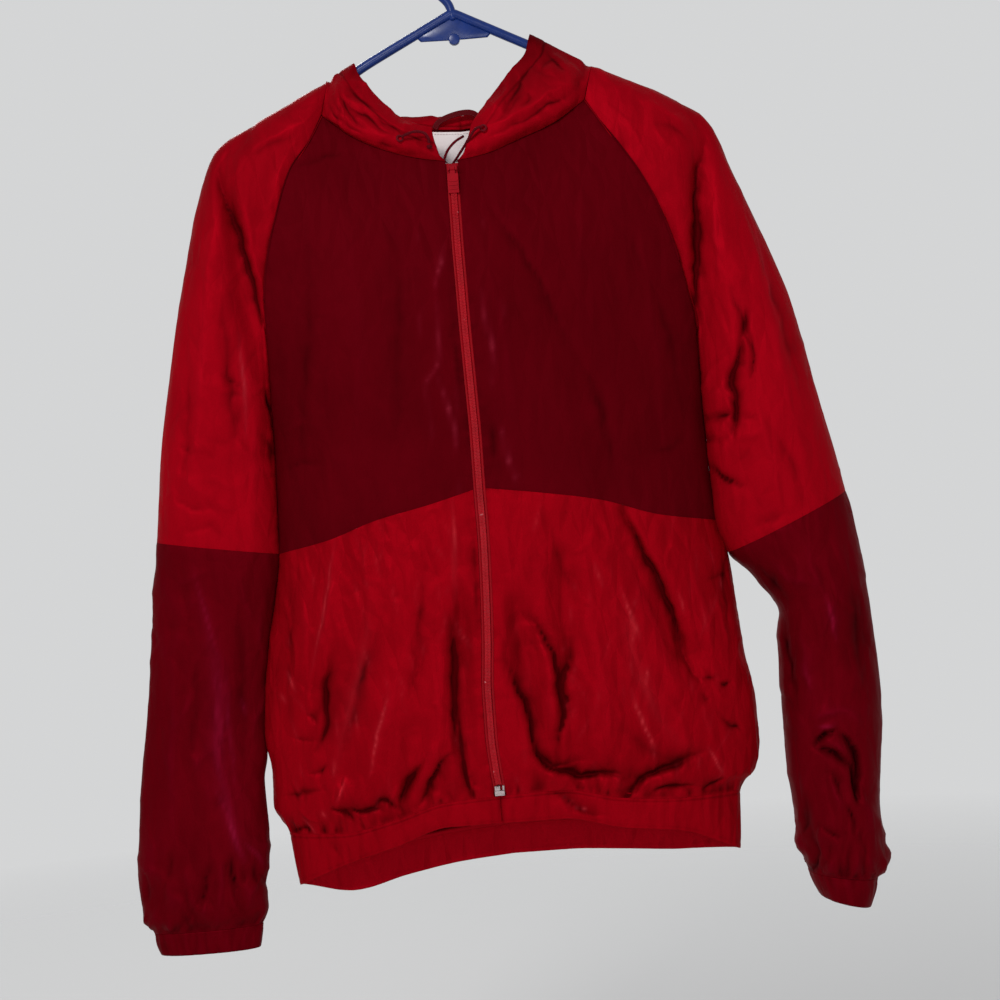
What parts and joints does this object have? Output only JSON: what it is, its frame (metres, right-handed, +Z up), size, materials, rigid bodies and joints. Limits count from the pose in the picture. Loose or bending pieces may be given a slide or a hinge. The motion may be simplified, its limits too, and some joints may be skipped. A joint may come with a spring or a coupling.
{
  "type": "windbreaker on hanger",
  "caption": "Hooded full-zip windbreaker with raglan sleeves in blocks of two colours, elastic waistband and cuffs and a neck drawcord, hung flat on a plain tubular hanger.",
  "frame": {"origin": "the top of the hook's inside, where it rests on its rail", "axes": "+Z up; the zipped front faces -Y; +X is to the right for someone looking at the front, which is the wearer's left"},
  "size_m": [0.6779, 0.108, 0.901],
  "materials": {
    "nylon_red": "thin crinkled woven nylon, satin shine",
    "nylon_maroon": "thin crinkled woven nylon, satin shine",
    "zip_red": "dyed zip tape and moulded teeth, low shine",
    "cord_maroon": "thin woven cord",
    "label_white": "woven label tape, bare",
    "hanger_blue": "smooth moulded plastic",
    "box_silver": "bright metal",
    "loop_red": "narrow woven tape"
  },
  "bodies": {
    "garment": {"back_chest": "nylon_maroon", "back_lower": "nylon_red", "cord_eyelet_left": "nylon_maroon", "cord_eyelet_right": "nylon_maroon", "cord_knot_left": "cord_maroon", "cuff_left": "nylon_maroon", "cuff_right": "nylon_maroon", "drawcord_left": "cord_maroon", "drawcord_right": "cord_maroon", "front_chest_left": "nylon_maroon", "front_chest_right": "nylon_maroon", "front_lower_left": "nylon_red", "front_lower_right": "nylon_red", "hang_loop": "loop_red", "hanger": "hanger_blue", "hood_left": "nylon_red", "hood_right": "nylon_red", "neck_label": "label_white", "sleeve_lower_left": "nylon_maroon", "sleeve_lower_right": "nylon_maroon", "sleeve_upper_back_left": "nylon_red", "sleeve_upper_back_right": "nylon_red", "sleeve_upper_front_left": "nylon_red", "sleeve_upper_front_right": "nylon_red", "waistband": "nylon_red", "zip_box": "box_silver", "zip_chain": "zip_red", "zip_slider": "zip_red", "zip_tape_left": "zip_red", "zip_tape_right": "zip_red"},
    "pull_tab": {"zip_pull": "zip_red"}
  },
  "joints": [
    {"name": "pull_swing", "type": "hinge", "parent": "garment", "child": "pull_tab", "pos_m": [-0.01, -0.03194, -0.211], "axis": [-1, 0, 0], "range_deg": [0, 150]}
  ]
}
